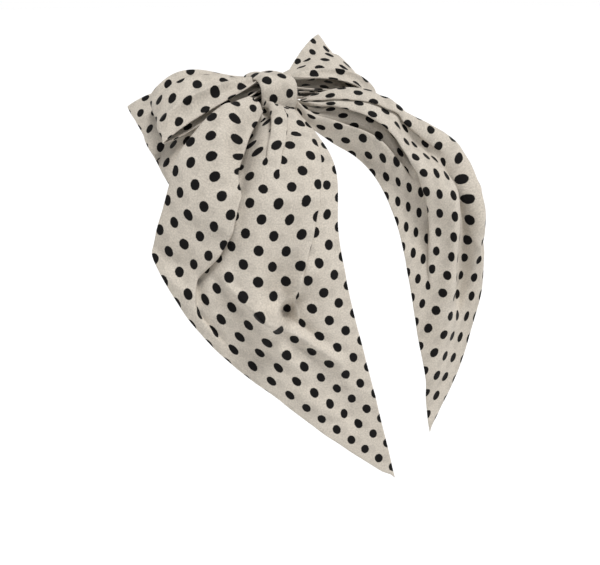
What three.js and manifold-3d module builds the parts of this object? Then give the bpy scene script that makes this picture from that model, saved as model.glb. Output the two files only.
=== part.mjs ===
// Hair bow clip: two gathered ribbon loops, two long slanted tails and a knot band,
// carried on a flat spring hair barrette. Millimetres, +Z up, +X along the barrette.
// The origin is the centre of the clasp arm's face that lies on the scalp.

import * as THREE from 'three';
import { mergeVertices } from 'three/addons/utils/BufferGeometryUtils.js';
import Module from 'manifold-3d';

// ---------- driving dimensions (mm, degrees) ----------

// fabric
const fabricThickness = 1.2;
const bandThickness = 1.4;
const layerRise = 2.6;
const strandGap = 0.8;
const pleatCount = 3;
const pleatDepth = 1.0;
const pleatFade = 16;

// tails
const tailStripWidth = 165;
const leftTailLongEdge = 324;
const rightTailLongEdge = 310;
const tailCutAngle = 43;
const tailSeat = 1.8;
const hangLineSpan = 165;
const hangLineGather = 18;
const knotPoints = 3;

// loops
const loopGather = 18;
const loopShift = 1.2;
const loopSeamGap = 0.8;
const frontLoopOpening = 22;
const rearLoopOpening = 10;
const frontLoopLowerShare = 0.3;
const rearLoopLowerShare = 0.5;

// knot band and gathering thread
const knotShift = -4;
const bandWidth = 28;
const bandUnderPlate = 1.2;
const bandPadding = 3.4;
const bandPuff = 1.2;
const bandSeamGap = 0.8;
const threadWidth = 6;
const threadThickness = 0.9;
const threadLift = 0.8;
const threadSideEase = 5.3;
const threadTopEase = 2;

// barrette
const plateLength = 80;
const plateWidth = 10;
const plateThickness = 0.8;
const plateHeight = 11;
const earLength = 5;
const earThickness = 0.7;
const earFoot = 0.4;
const pinRadius = 0.9;
const pinPlay = 0.05;
const pinHeadRadius = 1.6;
const pinHeadHeight = 0.6;
const pinInset = 4;
const knuckleRadius = 2;
const armWidth = 7;
const armThickness = 1;
const armStep = 1.6;
const loopFrameWidth = 10.8;
const loopFrameLength = 11.5;
const loopFrameBar = 1.5;
const barWidth = 6;
const barThickness = 0.5;
const barLow = 5.9;
const barEndDrop = 1.4;
const catchLength = 10;
const catchWidth = 9.2;
const catchThickness = 0.6;
const rivetRadius = 1;
const rivetHeadRadius = 1.4;
const rivetHeadHeight = 0.55;
const tabLength = 7;
const tabThickness = 0.6;
const tabReach = 8.4;
const tabPad = 2.6;
const hookReach = 0.5;
const hookHeight = 0.5;
const tabPlay = 0.7;
const clearance = 0.3;

// derived places on the barrette
const hingeX = -plateLength / 2 + pinInset;
const catchX = plateLength / 2 - pinInset - catchLength / 2 + 1;
const frameX = catchX;
const tabInset = loopFrameWidth / 2 - loopFrameBar - tabPlay - tabThickness;

// derived heights and depths of what the knot gathers
const layerHalf = pleatDepth + fabricThickness / 2;
const strandRise = layerRise + 2 * layerHalf + strandGap;
const tailBundleHeight = plateHeight + plateThickness + tailSeat + layerHalf;
const threadBase = plateHeight + plateThickness + threadLift;
const threadTop = tailBundleHeight + 2 * strandRise + layerHalf + threadTopEase;
const threadDepth = loopGather + 2 * threadSideEase;
const bandBase = plateHeight - bandUnderPlate;
const bandTop = threadTop + bandPadding;
const bandDepth = threadDepth + bandPadding;

const wasm = await Module();
wasm.setup();

// ---------- materials ----------

const crepe = new THREE.MeshStandardMaterial({ color: 0xe6e2de, roughness: 0.8, metalness: 0 });
const thread = new THREE.MeshStandardMaterial({ color: 0xd8d4cc, roughness: 0.9, metalness: 0 });
const plateSteel = new THREE.MeshStandardMaterial({ color: 0xb9bbbe, roughness: 0.35, metalness: 0.9 });
const springSteel = new THREE.MeshStandardMaterial({ color: 0xa8aaad, roughness: 0.3, metalness: 0.9 });

// ---------- helpers ----------

function part(name, geometry, material) {
  const mesh = new THREE.Mesh(geometry, material);
  mesh.name = name;
  return mesh;
}

function closed(geometry) {
  const shell = geometry.clone();
  shell.deleteAttribute('normal');
  shell.deleteAttribute('uv');
  return mergeVertices(shell, 1e-4);
}

function toSolid(geometry) {
  const shell = closed(geometry);
  return new wasm.Manifold(
    new wasm.Mesh({
      numProp: 3,
      vertProperties: new Float32Array(shell.attributes.position.array),
      triVerts: new Uint32Array(shell.index.array),
    }),
  );
}

function toGeometry(solid) {
  const mesh = solid.getMesh();
  const geometry = new THREE.BufferGeometry();
  geometry.setAttribute('position', new THREE.BufferAttribute(mesh.vertProperties, 3));
  geometry.setIndex(new THREE.BufferAttribute(mesh.triVerts, 1));
  return geometry;
}

function block(length, width, height, x, y, z) {
  const geometry = new THREE.BoxGeometry(length, width, height);
  geometry.translate(x, y, z + height / 2);
  return geometry;
}

function cylinderAlongY(radius, length, x, z, segments) {
  const geometry = new THREE.CylinderGeometry(radius, radius, length, segments);
  geometry.translate(x, 0, z);
  return geometry;
}

function smooth(value) {
  const held = Math.min(Math.max(value, 0), 1);
  return held * held * (3 - 2 * held);
}

// Two directions along a surface, taken a short step either side of a point.
function surfaceNormal(surface, along, across) {
  const step = 0.004;
  const forward = surface(Math.min(along + step, 1), across);
  forward.sub(surface(Math.max(along - step, 0), across));
  const sideways = surface(along, Math.min(across + step, 1));
  sideways.sub(surface(along, Math.max(across - step, 0)));
  return forward.cross(sideways).normalize();
}

// A sheet of doubled fabric: a thin box whose middle layer follows a surface.
function fabricSheet(surface, lengthSteps, widthSteps, thickness) {
  const geometry = new THREE.BoxGeometry(1, 1, 1, lengthSteps, widthSteps, 1);
  const position = geometry.attributes.position;
  for (let i = 0; i < position.count; i += 1) {
    const along = position.getX(i) + 0.5;
    const across = position.getY(i) + 0.5;
    const point = surface(along, across);
    const normal = surfaceNormal(surface, along, across);
    point.addScaledVector(normal, position.getZ(i) * thickness);
    position.setXYZ(i, point.x, point.y, point.z);
  }
  return closed(geometry);
}

// Small gathers that run out of the knot and die away along the fabric.
function pleatWave(distance, across) {
  const fade = Math.exp(-distance / pleatFade);
  return pleatDepth * fade * Math.cos(2 * Math.PI * pleatCount * across);
}

// ---------- tails ----------

// Each hang line is the way one lengthwise thread of a tail falls: out of the knot,
// over the crown of the head and down. The first is the long inner edge.
const leftHangLines = [
  [[-3, -9, 0], [-15, -10, -0.4], [-19, -19, -1], [-13, -29, 0], [-3, -40, -7], [4, -54, -18],
    [3, -74, -36], [-9, -94, -73], [-8, -108, -115], [-2, -126, -170], [8, -146, -245], [16, -162, -310]],
  [[-3, -7.5, 0], [-15, -9, -0.3], [-21, -19, 0], [-20, -31, -1], [-20, -46, -11], [-21, -62, -25],
    [-27, -83, -55], [-30, -98, -98], [-31, -112, -150], [-28, -124, -205], [-24, -136, -270]],
  [[-3, -6, 0], [-15, -8, 0], [-23, -18, 2], [-28, -29, 1], [-38, -45, -10], [-50, -66, -38],
    [-58, -82, -80], [-62, -93, -130], [-62, -102, -190], [-62, -110, -250]],
  [[-3, -4.5, 0], [-15, -7, 0], [-24, -17, 4], [-33, -25, 4], [-52, -36, -6], [-74, -48, -32],
    [-88, -57, -70], [-97, -64, -112], [-102, -70, -155], [-106, -76, -205]],
  [[-3, -3, 0], [-15, -6, 0], [-24, -16, 5], [-36, -21, 8], [-54, -24, 2], [-74, -26, -8],
    [-90, -27, -22], [-99, -28, -42], [-108, -30, -62], [-119, -32, -84], [-128, -34, -112], [-134, -36, -150]],
];

const rightHangLines = [
  [[3, -9, 0], [15, -10, 0], [18, -17, -7], [15, -23, -17], [24, -36, -27], [40, -48, -38],
    [49, -62, -53], [56, -80, -84], [61, -93, -130], [66, -106, -190], [70, -120, -255], [74, -133, -318]],
  [[3, -7.5, 0], [15, -9, 0], [22, -20, -2], [40, -46, -18], [62, -74, -46], [82, -92, -86],
    [96, -104, -134], [104, -113, -184], [107, -120, -230], [108, -128, -280]],
  [[3, -6, 0], [15, -8, 0], [24, -19, 1], [50, -46, -6], [80, -72, -28], [105, -93, -56],
    [120, -105, -94], [124, -110, -140], [125, -114, -190], [126, -118, -240]],
  [[3, -4.5, 0], [15, -7, 0], [24, -18, 4], [56, -42, 3], [86, -62, -18], [110, -80, -40],
    [123, -88, -76], [127, -91, -120], [129, -93, -170], [130, -95, -220]],
  [[3, -3, 0], [15, -6, 0], [24, -17, 6], [60, -34, 8], [88, -50, -12], [112, -62, -34],
    [125, -68, -66], [129, -70, -105], [131, -72, -150], [132, -74, -200]],
];

function hangCurves(lines) {
  return lines.map((line) => {
    const points = line.map(([x, y, z]) => new THREE.Vector3(x, y, z + tailBundleHeight));
    points.slice(0, knotPoints).forEach((point) => {
      point.x += knotShift;
      point.y *= loopGather / hangLineGather;
    });
    return new THREE.CatmullRomCurve3(points);
  });
}

// A thread longer than its hang line goes on straight from the line's end.
function pointAtDistance(curve, length, distance) {
  if (distance <= length) {
    return curve.getPointAt(distance / length);
  }
  return curve.getPoint(1).addScaledVector(curve.getTangent(1), distance - length);
}

function tailSurface(lines, longEdge) {
  const curves = hangCurves(lines);
  const lengths = curves.map((curve) => curve.getLength());
  const shortening = tailStripWidth * Math.tan(THREE.MathUtils.degToRad(tailCutAngle));
  return (along, across) => {
    const distance = along * (longEdge - shortening * across);
    const row = curves.map((curve, i) => pointAtDistance(curve, lengths[i], distance));
    const spread = THREE.MathUtils.lerp(1, tailStripWidth / hangLineSpan, smooth(distance / hangLineSpan));
    const widened = row.map((point) => row[0].clone().lerp(point, spread));
    return new THREE.CatmullRomCurve3(widened).getPoint(across);
  };
}

function tail(name, lines, longEdge) {
  const plain = tailSurface(lines, longEdge);
  const pleated = (along, across) => {
    const point = plain(along, across);
    const normal = surfaceNormal(plain, along, across);
    return point.addScaledVector(normal, pleatWave(along * longEdge, across));
  };
  return part(name, fabricSheet(pleated, 34, 14, fabricThickness), crepe);
}

// ---------- loops ----------

// A loop is placed by the near and far corners of its end fold. Its upper and lower layers
// stand apart by the opening. Arch and climb each give the near edge, then the far edge: how far
// the middle rises above a straight line, and how late the edge leaves the height of the knot.
// Droop is how much of the opening the upper layer's near edge hangs down over.
const frontLeftLoop = { near: [-96, -12, -2], far: [-85, 34, 20], arch: [7, 10], climb: [2, 2], droop: 0.9 };
const frontRightLoop = { near: [84, -26, 4], far: [72, 16, 38], arch: [8, 8], climb: [2, 2], droop: 0.5 };
const rearLeftLoop = { near: [-95, -16, -32], far: [-93, 62, 12], arch: [8, 11], climb: [2, 2], droop: 0.6 };
const rearRightLoop = { near: [98, -8, -10], far: [74, 54, 58], arch: [0, -2], climb: [2, 1.6], droop: 0 };

// run goes from 0 at the knot on the lower layer, by the end fold, to 1 on the upper layer.
function loopPoint(strand, loop, side, run, across) {
  const swell = Math.sin(Math.PI * run);
  const spread = Math.pow(swell, 0.75);
  const near = new THREE.Vector3(...loop.near);
  const far = new THREE.Vector3(...loop.far);
  const knot = new THREE.Vector3(knotShift + side * bandWidth * 0.5, loopShift, strand.height);
  const fold = near.clone().add(far).multiplyScalar(0.5);
  const centre = knot.clone().lerp(fold, swell);
  const toFar = smooth(across * 1.3);
  const arch = THREE.MathUtils.lerp(loop.arch[0], loop.arch[1], toFar);
  const climb = Math.pow(swell, THREE.MathUtils.lerp(loop.climb[0], loop.climb[1], toFar));
  centre.z += arch * Math.sin(Math.PI * Math.pow(swell, 1.3));
  const width = far.clone().sub(near);
  width.set(width.x * spread, THREE.MathUtils.lerp(loopGather, width.y, spread), width.z * climb);
  const outward = fold.clone().sub(knot).normalize();
  const up = outward.clone().cross(width).normalize().multiplyScalar(side);
  const topShare = (1 - strand.lowerShare) * (1 - loop.droop * (1 - toFar));
  const share = run < 0.5 ? strand.lowerShare : topShare;
  const apart = (strand.opening * spread * share + layerRise / 2) * -Math.cos(Math.PI * run);
  const wave = pleatWave(swell * fold.distanceTo(knot), across);
  centre.addScaledVector(width, across - 0.5);
  return centre.addScaledVector(up, wave + apart);
}

// One closed strip: lower right, upper right, upper left, lower left, ends butted under the knot.
function loopStrip(strand, leftLoop, rightLoop) {
  const flat = 0.04;
  const halfBand = bandWidth * 0.5;
  const crossing = (x, layer, across) => {
    const z = strand.height + (layer * layerRise) / 2 + pleatWave(0, across);
    return new THREE.Vector3(knotShift + x, loopShift + loopGather * (across - 0.5), z);
  };
  return (along, across) => {
    const fromSeam = Math.min(along, 1 - along);
    if (fromSeam < flat) {
      const reach = loopSeamGap / 2 + (halfBand - loopSeamGap / 2) * (fromSeam / flat);
      return crossing(along < 0.5 ? reach : -reach, -1, across);
    }
    if (fromSeam > 0.5 - flat) {
      return crossing(halfBand * ((0.5 - along) / flat), 1, across);
    }
    const run = (fromSeam - flat) / (0.5 - 2 * flat);
    const onRight = along < 0.5;
    return loopPoint(strand, onRight ? rightLoop : leftLoop, onRight ? 1 : -1, run, across);
  };
}

function rearLoops() {
  const strand = {
    height: tailBundleHeight + strandRise - layerRise / 2,
    opening: rearLoopOpening,
    lowerShare: rearLoopLowerShare,
  };
  const strip = loopStrip(strand, rearLeftLoop, rearRightLoop);
  return part('rear_loops', fabricSheet(strip, 50, 10, fabricThickness), crepe);
}

function frontLoops() {
  const strand = {
    height: tailBundleHeight + 2 * strandRise - layerRise / 2,
    opening: frontLoopOpening,
    lowerShare: frontLoopLowerShare,
  };
  const strip = loopStrip(strand, frontLeftLoop, frontRightLoop);
  return part('front_loops', fabricSheet(strip, 50, 10, fabricThickness), crepe);
}

// ---------- knot band and thread ----------

// A rounded ring in the YZ plane with its two ends butted together underneath.
function ringPoint(turn, depth, base, top, seamGap) {
  const seam = seamGap / depth;
  const angle = -Math.PI / 2 + seam + turn * (2 * Math.PI - 2 * seam);
  const square = (value) => Math.sign(value) * Math.pow(Math.abs(value), 0.6);
  const y = -0.5 * depth * square(Math.cos(angle));
  const z = (base + top) / 2 + 0.5 * (top - base) * square(Math.sin(angle));
  return new THREE.Vector3(0, y, z);
}

function knotBand() {
  const surface = (along, across) => {
    const point = ringPoint(along, bandDepth, bandBase, bandTop, bandSeamGap);
    const middle = (bandBase + bandTop) / 2;
    const puff = bandPuff * Math.cos(Math.PI * (across - 0.5)) * smooth((point.z - bandBase) / 8);
    const away = new THREE.Vector3(0, point.y, point.z - middle).normalize();
    point.addScaledVector(away, puff);
    point.x = knotShift + bandWidth * (across - 0.5);
    return point;
  };
  return part('knot_band', fabricSheet(surface, 36, 6, bandThickness), crepe);
}

function gatherThread() {
  const surface = (along, across) => {
    const point = ringPoint(along, threadDepth, threadBase, threadTop, bandSeamGap);
    point.x = knotShift + threadWidth * (across - 0.5);
    return point;
  };
  return part('gather_thread', fabricSheet(surface, 32, 1, threadThickness), thread);
}

// ---------- barrette ----------

function roundedBar(length, width, thickness, z) {
  const half = length / 2 - width / 2;
  const outline = new THREE.Shape();
  outline.absarc(half, 0, width / 2, -Math.PI / 2, Math.PI / 2, false);
  outline.absarc(-half, 0, width / 2, Math.PI / 2, (3 * Math.PI) / 2, false);
  const geometry = new THREE.ExtrudeGeometry(outline, { depth: thickness, bevelEnabled: false, curveSegments: 10 });
  geometry.translate(0, 0, z);
  return geometry;
}

function topPlate() {
  let solid = toSolid(roundedBar(plateLength, plateWidth, plateThickness, plateHeight));
  for (const side of [-1, 1]) {
    const y = side * (plateWidth / 2 - earThickness / 2);
    const height = plateHeight - earFoot + plateThickness / 2;
    const ear = toSolid(block(earLength, earThickness, height, hingeX + 0.5, y, earFoot));
    solid = solid.add(ear);
  }
  const bore = cylinderAlongY(pinRadius + pinPlay, plateWidth + 2, hingeX, knuckleRadius, 24);
  const rivetHole = new THREE.CylinderGeometry(rivetRadius + pinPlay, rivetRadius + pinPlay, 4, 24);
  rivetHole.rotateX(Math.PI / 2);
  rivetHole.translate(catchX, 0, plateHeight);
  solid = solid.subtract(toSolid(bore)).subtract(toSolid(rivetHole));
  return part('top_plate', toGeometry(solid), plateSteel);
}

function hingePin() {
  const half = plateWidth / 2 + 0.1;
  const profile = [
    new THREE.Vector2(0, -half - pinHeadHeight),
    new THREE.Vector2(pinHeadRadius, -half - pinHeadHeight),
    new THREE.Vector2(pinHeadRadius, -half),
    new THREE.Vector2(pinRadius, -half),
    new THREE.Vector2(pinRadius, half),
    new THREE.Vector2(pinHeadRadius, half),
    new THREE.Vector2(pinHeadRadius, half + pinHeadHeight),
    new THREE.Vector2(0, half + pinHeadHeight),
  ];
  const geometry = new THREE.LatheGeometry(profile, 24);
  geometry.translate(hingeX, 0, knuckleRadius);
  return part('hinge_pin', closed(geometry), plateSteel);
}

function claspArm() {
  const frameStart = frameX - loopFrameLength / 2;
  const stepStart = frameStart - 3;
  const side = new THREE.Shape();
  side.moveTo(hingeX, 0);
  side.lineTo(stepStart, 0);
  side.lineTo(frameStart, armStep);
  side.lineTo(frameStart + 1, armStep);
  side.lineTo(frameStart + 1, armStep + armThickness);
  side.lineTo(frameStart, armStep + armThickness);
  side.lineTo(stepStart, armThickness);
  side.lineTo(hingeX, armThickness);
  side.closePath();
  const strip = new THREE.ExtrudeGeometry(side, { depth: armWidth, bevelEnabled: false });
  strip.rotateX(Math.PI / 2);
  strip.translate(0, armWidth / 2, 0);
  const knuckle = cylinderAlongY(knuckleRadius, armWidth, hingeX, knuckleRadius, 32);
  const bore = cylinderAlongY(pinRadius + pinPlay, armWidth + 2, hingeX, knuckleRadius, 24);
  const frame = block(loopFrameLength, loopFrameWidth, armThickness, frameX, 0, armStep);
  const windowLength = loopFrameLength - 2 * loopFrameBar;
  const windowWidth = loopFrameWidth - 2 * loopFrameBar;
  const window = block(windowLength, windowWidth, armThickness + 2, frameX, 0, armStep - 1);
  const solid = toSolid(strip).add(toSolid(knuckle)).subtract(toSolid(bore))
    .add(toSolid(frame)).subtract(toSolid(window));
  return part('clasp_arm', toGeometry(solid), plateSteel);
}

function tensionBar() {
  const rootZ = plateHeight - clearance - 1.1;
  const points = [
    [hingeX + 3, rootZ + 0.4],
    [hingeX + 5, rootZ],
    [hingeX + 14, (rootZ + barLow) / 2 - 0.3],
    [-6, barLow],
    [8, barLow],
    [catchX - catchLength / 2 - 3, barLow + barEndDrop],
  ];
  const path = new THREE.CatmullRomCurve3(points.map(([x, z]) => new THREE.Vector3(x, 0, z)));
  const surface = (along, across) => {
    const point = path.getPoint(along);
    point.y = barWidth * (across - 0.5);
    return point;
  };
  return part('tension_bar', fabricSheet(surface, 24, 1, barThickness), springSteel);
}

function catchPlate() {
  const z = plateHeight - clearance - catchThickness;
  const slab = toSolid(block(catchLength, catchWidth, catchThickness, catchX, 0, z));
  const hole = new THREE.CylinderGeometry(rivetRadius + pinPlay, rivetRadius + pinPlay, 4, 24);
  hole.rotateX(Math.PI / 2);
  hole.translate(catchX, 0, z);
  return part('catch_plate', toGeometry(slab.subtract(toSolid(hole))), springSteel);
}

function catchRivet() {
  const low = plateHeight - clearance - catchThickness - pinPlay;
  const high = plateHeight + plateThickness + pinPlay;
  const profile = [
    new THREE.Vector2(0, low - rivetHeadHeight),
    new THREE.Vector2(rivetHeadRadius * 0.8, low - rivetHeadHeight),
    new THREE.Vector2(rivetHeadRadius, low),
    new THREE.Vector2(rivetRadius, low),
    new THREE.Vector2(rivetRadius, high),
    new THREE.Vector2(rivetHeadRadius, high),
    new THREE.Vector2(rivetHeadRadius * 0.8, high + rivetHeadHeight),
    new THREE.Vector2(0, high + rivetHeadHeight),
  ];
  const geometry = new THREE.LatheGeometry(profile, 24);
  geometry.rotateX(Math.PI / 2);
  geometry.translate(catchX, 0, 0);
  return part('catch_rivet', closed(geometry), plateSteel);
}

// A prong of the catch: finger pad outside, upright strip inside the arm's window, hook at its foot.
function releaseTab(name, side) {
  const top = plateHeight - 2 * clearance - catchThickness - rivetHeadHeight;
  const foot = hookHeight;
  const inner = tabInset;
  const outer = tabInset + tabThickness;
  const outline = new THREE.Shape();
  outline.moveTo(inner, foot);
  outline.lineTo(outer + hookReach, foot);
  outline.lineTo(outer + hookReach, foot + hookHeight);
  outline.lineTo(outer, foot + hookHeight);
  outline.lineTo(outer, top - tabThickness);
  outline.lineTo(tabReach - tabThickness, top - tabThickness);
  outline.lineTo(tabReach - tabThickness, top - tabPad);
  outline.lineTo(tabReach, top - tabPad);
  outline.lineTo(tabReach, top);
  outline.lineTo(inner, top);
  outline.closePath();
  const geometry = new THREE.ExtrudeGeometry(outline, { depth: tabLength, bevelEnabled: false });
  geometry.rotateX(Math.PI / 2);
  geometry.rotateZ(side > 0 ? Math.PI / 2 : -Math.PI / 2);
  geometry.computeBoundingBox();
  const middle = (geometry.boundingBox.min.x + geometry.boundingBox.max.x) / 2;
  geometry.translate(catchX - middle, 0, 0);
  return part(name, closed(geometry), springSteel);
}

// ---------- assembly ----------

const hairBow = new THREE.Group();
hairBow.name = 'hair_bow_clip';
hairBow.add(frontLoops());
hairBow.add(rearLoops());
hairBow.add(tail('left_tail', leftHangLines, leftTailLongEdge));
hairBow.add(tail('right_tail', rightHangLines, rightTailLongEdge));
hairBow.add(knotBand());
hairBow.add(gatherThread());
hairBow.add(topPlate());
hairBow.add(hingePin());
hairBow.add(claspArm());
hairBow.add(tensionBar());
hairBow.add(catchPlate());
hairBow.add(catchRivet());
hairBow.add(releaseTab('release_tab_front', -1));
hairBow.add(releaseTab('release_tab_back', 1));

export default hairBow;
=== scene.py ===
import math

import bpy
import numpy as np
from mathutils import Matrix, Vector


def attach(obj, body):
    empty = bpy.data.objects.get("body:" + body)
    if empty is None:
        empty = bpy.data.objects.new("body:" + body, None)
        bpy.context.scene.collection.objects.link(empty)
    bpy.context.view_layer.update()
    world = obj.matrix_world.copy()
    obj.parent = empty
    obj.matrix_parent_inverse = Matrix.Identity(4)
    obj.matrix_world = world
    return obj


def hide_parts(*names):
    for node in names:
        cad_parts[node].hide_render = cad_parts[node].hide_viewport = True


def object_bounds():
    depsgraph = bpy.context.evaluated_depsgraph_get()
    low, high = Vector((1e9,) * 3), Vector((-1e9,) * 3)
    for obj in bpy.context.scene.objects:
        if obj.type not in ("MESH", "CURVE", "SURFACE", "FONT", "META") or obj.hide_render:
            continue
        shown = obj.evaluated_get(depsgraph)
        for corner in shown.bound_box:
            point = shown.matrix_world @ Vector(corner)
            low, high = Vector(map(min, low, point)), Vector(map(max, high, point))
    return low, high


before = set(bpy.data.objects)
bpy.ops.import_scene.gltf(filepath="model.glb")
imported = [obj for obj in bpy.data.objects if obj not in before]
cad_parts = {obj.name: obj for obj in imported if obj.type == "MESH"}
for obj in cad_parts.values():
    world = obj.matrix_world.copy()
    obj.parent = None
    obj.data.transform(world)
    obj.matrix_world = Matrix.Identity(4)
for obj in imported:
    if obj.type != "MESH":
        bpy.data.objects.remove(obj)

bl_info = {
    "name": "Spotted Hair Bow Clip",
    "version": (1, 0, 0),
    "blender": (4, 5, 0),
    "location": "3D View > Sidebar > Hair Bow",
    "description": "Builds a gathered crepe hair bow with two long slanted tails on a spring barrette",
    "category": "Add Mesh",
}

CAD_BOX = [list(corner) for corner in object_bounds()]
MM = 0.001

# The way each lengthwise thread of a tail falls, in millimetres from the middle of the gathered
# bundle. The first is the long inner edge and the last is the short outer edge.
LEFT_HANG = [
    [(-7, -9, 0), (-15, -10, -0.4), (-14, -19, 0), (-5, -27, 1), (0, -39, -6), (4, -54, -18),
     (3, -74, -36), (-9, -94, -73), (-8, -108, -115), (-2, -126, -170), (8, -146, -245),
     (16, -162, -310)],
    [(-7, -7.5, 0), (-19, -9, -0.3), (-25, -19, 0), (-20, -31, -1), (-20, -46, -11), (-21, -62, -25),
     (-27, -83, -55), (-30, -98, -98), (-31, -112, -150), (-28, -124, -205), (-24, -136, -270)],
    [(-7, -6, 0), (-19, -8, 0), (-27, -18, 2), (-28, -29, 1), (-38, -45, -10), (-50, -66, -38),
     (-58, -82, -80), (-62, -93, -130), (-62, -102, -190), (-62, -110, -250)],
    [(-7, -4.5, 0), (-19, -7, 0), (-28, -17, 4), (-33, -25, 4), (-52, -36, -6), (-74, -48, -32),
     (-88, -57, -70), (-97, -64, -112), (-102, -70, -155), (-106, -76, -205)],
    [(-7, -3, 0), (-19, -6, 0), (-28, -16, 5), (-36, -21, 8), (-54, -24, 2), (-74, -26, -8),
     (-90, -27, -22), (-99, -28, -42), (-108, -30, -62), (-119, -32, -84), (-128, -34, -112),
     (-134, -36, -150)],
]
RIGHT_HANG = [
    [(-1, -9, 0), (8, -10, 0), (8, -17, -3), (10, -24, -12), (22, -36, -24), (39, -48, -37),
     (49, -62, -53), (56, -80, -84), (61, -93, -130), (66, -106, -190), (70, -120, -255),
     (74, -133, -318)],
    [(-1, -7.5, 0), (11, -9, 0), (18, -20, -2), (40, -46, -18), (62, -74, -46), (82, -92, -86),
     (96, -104, -134), (104, -113, -184), (107, -120, -230), (108, -128, -280)],
    [(-1, -6, 0), (11, -8, 0), (20, -19, 1), (50, -46, -6), (80, -72, -28), (105, -93, -56),
     (120, -105, -94), (124, -110, -140), (125, -114, -190), (126, -118, -240)],
    [(-1, -4.5, 0), (11, -7, 0), (20, -18, 4), (56, -42, 3), (86, -62, -18), (110, -80, -40),
     (123, -88, -76), (127, -91, -120), (129, -93, -170), (130, -95, -220)],
    [(-1, -3, 0), (11, -6, 0), (20, -17, 6), (60, -32, 8), (88, -42, -11), (112, -47, -32),
     (126, -50, -64), (131, -50, -104), (132, -52, -150), (132, -54, -200)],
]
BUNDLE_HEIGHT = 15.2

# The folds that each tail keeps, as stations along the fold. A station is the distance from the
# knot, the place across the hanging tail (0 to 1), the cloth taken up and the rise, in millimetres.
# A knife fold lays one side over the other: side 1 has the inner part on top, -1 the outer part.
# A ridge only rises or, with side -1, sinks.
LEFT_FOLDS = [
    ("knife", -1, [(14, 0.68, 16, 3), (34, 0.76, 38, 9), (55, 0.80, 46, 15), (74, 0.75, 44, 17),
                   (92, 0.69, 32, 14), (108, 0.60, 20, 10), (133, 0.60, 17, 8), (152, 0.66, 14, 8),
                   (172, 0.76, 10, 7), (192, 0.88, 6, 4)]),
    ("knife", 1, [(12, 0.50, 14, 3), (30, 0.47, 24, 6), (48, 0.45, 22, 5), (66, 0.49, 10, 3)]),
    ("knife", -1, [(12, 0.34, 14, 3), (30, 0.34, 22, 5), (50, 0.36, 20, 4), (76, 0.40, 8, 2)]),
    ("knife", -1, [(12, 0.12, 10, 2), (34, 0.10, 12, 3), (70, 0.11, 10, 4), (116, 0.15, 10, 4.5),
                   (135, 0.17, 9, 4), (169, 0.26, 5, 3), (190, 0.30, 2, 1)]),
    ("ridge", -1, [(36, 0.68, 8, 6), (56, 0.71, 9, 13), (78, 0.68, 9, 14), (98, 0.62, 8, 7)]),
    ("ridge", 1, [(110, 0.42, 18, 4), (160, 0.44, 15, 8), (182, 0.46, 11, 11), (215, 0.50, 14, 9),
                  (250, 0.54, 16, 6)]),
    ("ridge", -1, [(120, 0.30, 18, 4), (165, 0.34, 13, 8), (186, 0.37, 11, 10), (215, 0.38, 15, 7),
                   (250, 0.40, 16, 4)]),
    ("ridge", 1, [(156, 0.20, 6, 5), (170, 0.29, 5, 9), (184, 0.42, 4.5, 9)]),
    ("ridge", 1, [(184, 0.46, 5, 8), (205, 0.32, 5, 9), (222, 0.22, 7, 5)]),
    ("ridge", 1, [(164, 0.60, 6, 4), (175, 0.52, 5, 7), (184, 0.46, 5, 7)]),
    ("ridge", -1, [(176, 0.30, 6, 5), (190, 0.40, 5, 9), (204, 0.46, 6, 6)]),
    ("ridge", -1, [(215, 0.60, 12, 4), (240, 0.52, 12, 6), (262, 0.44, 12, 3)]),
    ("ridge", -1, [(140, 0.74, 20, 5), (165, 0.82, 20, 6)]),
    ("ridge", 1, [(60, 0.90, 18, 4), (110, 0.86, 20, 6), (150, 0.90, 18, 6)]),
    ("ridge", 1, [(70, 0.26, 16, 4), (120, 0.24, 16, 6), (160, 0.14, 16, 5)]),
]
RIGHT_FOLDS = [
    ("knife", -1, [(12, 0.84, 14, 3), (34, 0.84, 26, 5), (56, 0.79, 30, 7), (86, 0.73, 24, 6),
                   (120, 0.68, 12, 4)]),
    ("knife", -1, [(12, 0.62, 14, 3), (41, 0.71, 36, 9), (73, 0.57, 40, 11), (94, 0.47, 34, 11),
                   (127, 0.32, 20, 8), (162, 0.20, 10, 5), (180, 0.17, 4, 2)]),
    ("knife", 1, [(12, 0.30, 14, 3), (43, 0.27, 26, 6), (82, 0.30, 18, 6), (100, 0.30, 8, 4)]),
    ("ridge", 1, [(120, 0.44, 15, 6), (165, 0.42, 14, 11), (205, 0.36, 15, 12), (260, 0.16, 16, 6)]),
    ("ridge", -1, [(100, 0.60, 14, 6), (130, 0.62, 13, 10), (170, 0.60, 13, 12), (215, 0.54, 14, 9)]),
    ("ridge", 1, [(90, 0.82, 14, 6), (120, 0.80, 13, 10), (160, 0.78, 12, 11), (195, 0.72, 12, 7)]),
    ("ridge", -1, [(90, 0.96, 14, 6), (130, 0.95, 12, 10), (170, 0.94, 12, 8)]),
    ("ridge", 1, [(44, 0.48, 12, 4), (80, 0.40, 13, 6), (100, 0.36, 13, 5)]),
    ("ridge", -1, [(60, 0.14, 11, 4), (100, 0.14, 11, 6), (150, 0.14, 11, 5)]),
]


# ---------------------------------------------------------------- colour and node helpers

def linear(hex_colour):
    """The linear colour, with alpha, of an sRGB hex value such as "E8E4DF"."""
    parts = [int(hex_colour[i:i + 2], 16) / 255 for i in (0, 2, 4)]
    return [p / 12.92 if p <= 0.04045 else ((p + 0.055) / 1.055) ** 2.4 for p in parts] + [1.0]


def add_node(tree, kind, links=None, **settings):
    """One shader node with its settings; links maps an input to a value or to another node's output."""
    node = tree.nodes.new(kind)
    for key, value in settings.items():
        setattr(node, key, value)
    for key, value in (links or {}).items():
        if isinstance(value, bpy.types.NodeSocket):
            tree.links.new(value, node.inputs[key])
        else:
            node.inputs[key].default_value = value
    return node


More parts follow.
